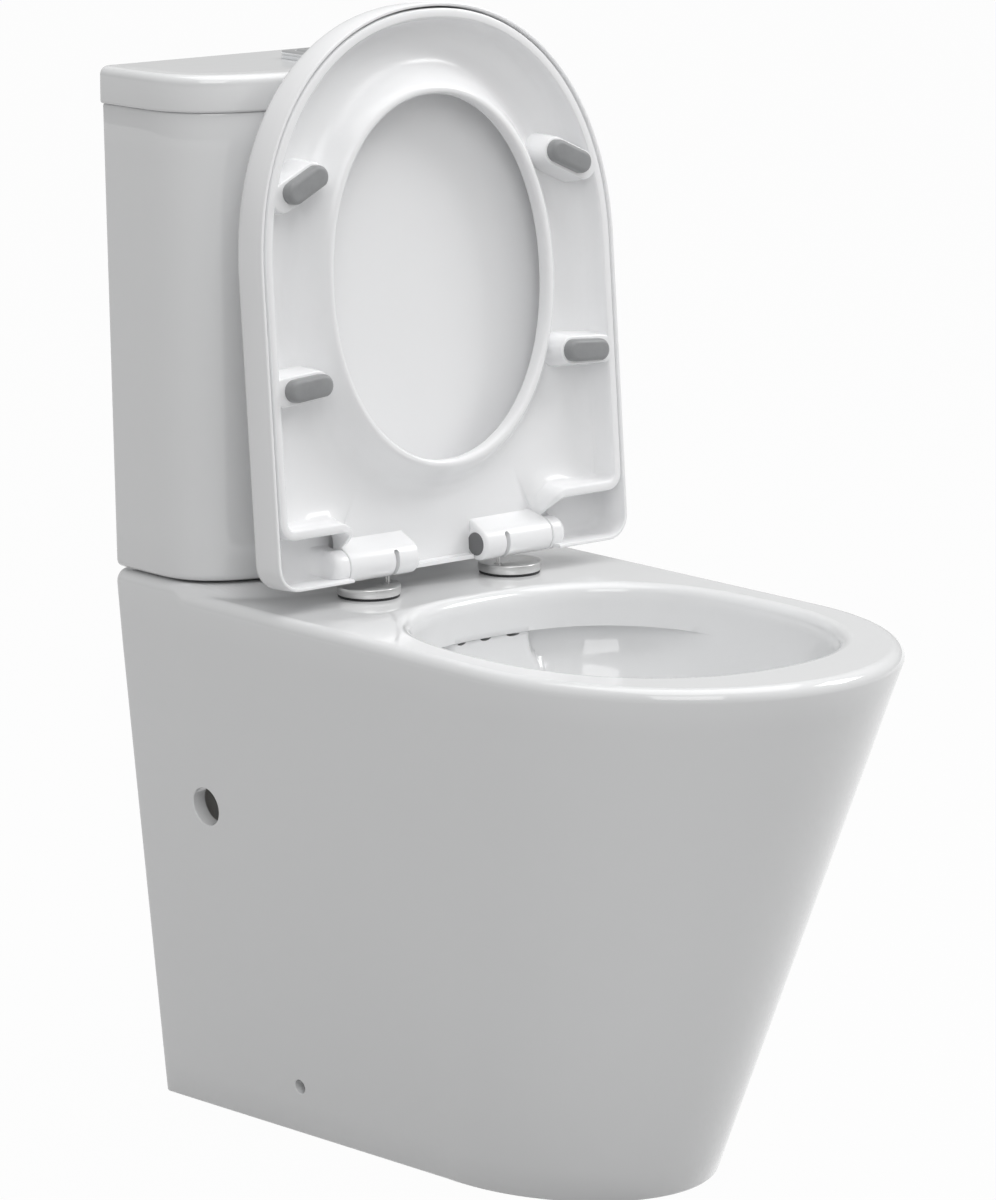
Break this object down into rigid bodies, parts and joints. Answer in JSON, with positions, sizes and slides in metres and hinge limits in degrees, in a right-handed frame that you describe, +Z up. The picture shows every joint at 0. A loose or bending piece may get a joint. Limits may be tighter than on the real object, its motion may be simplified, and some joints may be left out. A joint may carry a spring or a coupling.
{
  "type": "back to wall toilet",
  "caption": "Back-to-wall toilet: skirted white ceramic pan, close-coupled cistern with a rectangular chrome push-button plate, and a slow-closing seat and cover, both raised.",
  "frame": {"origin": "on the floor, midway between the pan's front and the wall behind it, on the middle plane", "axes": "+Z up; the front of the pan faces -Y and the wall is at +Y; +X is the left-hand side of somebody seated"},
  "size_m": [0.381, 0.642, 0.8957],
  "materials": {
    "ceramic": "white gloss glaze",
    "seat_plastic": "white gloss",
    "grey_rubber": "soft grey",
    "damper_plastic": "dark grey satin",
    "hinge_steel": "satin",
    "spring_steel": "plain",
    "black_rubber": "matte",
    "brass": "plain",
    "chrome": "polished",
    "valve_plastic": "off-white",
    "blue_plastic": "blue",
    "seal_rubber": "soft red"
  },
  "bodies": {
    "pan": {"pan_skirt": "ceramic", "pan_deck": "ceramic", "pan_bowl": "ceramic", "pan_duct": "ceramic", "pan_trap": "ceramic", "cistern_tank": "ceramic", "cistern_lid": "ceramic", "cover_damper": "damper_plastic", "hinge_pin_left": "hinge_steel", "hinge_pin_right": "hinge_steel", "hinge_post_left": "hinge_steel", "hinge_post_right": "hinge_steel", "hinge_disc_left": "hinge_steel", "hinge_disc_right": "hinge_steel", "hinge_bolts": "hinge_steel", "half_button_spring": "spring_steel", "full_button_spring": "spring_steel", "tank_bolt_washers": "spring_steel", "hinge_disc_gaskets": "black_rubber", "hinge_sleeves": "black_rubber", "flush_valve_washer": "black_rubber", "tank_gasket": "black_rubber", "fill_valve_washer": "black_rubber", "tank_bolt_seals": "black_rubber", "hinge_nuts": "brass", "tank_bolts": "brass", "tank_bolt_nuts": "brass", "button_bezel": "chrome", "button_retainer": "valve_plastic", "flush_valve_base": "valve_plastic", "flush_valve_tower": "valve_plastic", "flush_valve_head": "valve_plastic", "flush_valve_nut": "valve_plastic", "fill_valve_body": "valve_plastic", "fill_valve_cap": "valve_plastic", "fill_valve_nut": "valve_plastic"},
    "cover": {"seat_cover": "seat_plastic", "cover_damper_shaft": "hinge_steel", "cover_buffers": "grey_rubber"},
    "seat": {"seat_ring": "seat_plastic", "seat_buffers": "grey_rubber", "seat_damper": "damper_plastic"},
    "half_button": {"half_flush_button": "chrome", "half_flush_rod": "valve_plastic"},
    "full_button": {"full_flush_button": "chrome", "full_flush_rod": "valve_plastic"},
    "canister": {"flush_canister": "blue_plastic", "flush_seal": "seal_rubber"},
    "float": {"fill_valve_float": "valve_plastic"},
    "lever": {"fill_valve_lever": "blue_plastic"}
  },
  "joints": [
    {"name": "cover_hinge", "type": "hinge", "parent": "pan", "child": "cover", "pos_m": [0, 0.129, 0.464], "axis": [1, 0, 0], "range_deg": [0, 94.7]},
    {"name": "seat_hinge", "type": "hinge", "parent": "cover", "child": "seat", "pos_m": [0, 0.129, 0.464], "axis": [-1, 0, 0], "range_deg": [-94.7, 0]},
    {"name": "half_button_press", "type": "slide", "parent": "pan", "child": "half_button", "axis": [0, 0, -1], "range_m": [0, 0.007], "stiffness_N_per_m": 500, "springref_m": -0.006, "deforming": ["half_button_spring"]},
    {"name": "full_button_press", "type": "slide", "parent": "pan", "child": "full_button", "axis": [0, 0, -1], "range_m": [0, 0.007], "stiffness_N_per_m": 500, "springref_m": -0.006, "deforming": ["full_button_spring"]},
    {"name": "canister_lift", "type": "slide", "parent": "pan", "child": "canister", "axis": [0, 0, 1], "range_m": [0, 0.022]},
    {"name": "float_rise", "type": "slide", "parent": "pan", "child": "float", "axis": [0, 0, 1], "range_m": [0, 0.01]},
    {"name": "lever_turn", "type": "hinge", "parent": "pan", "child": "lever", "pos_m": [-0.122, 0.261, 0.776], "axis": [0, -1, 0], "range_deg": [0, 33]}
  ],
  "couplings": [
    {"joint": "canister_lift", "follows": "full_button_press", "ratio": 3.1429},
    {"joint": "lever_turn", "follows": "float_rise", "rad_per_m": 56}
  ]
}
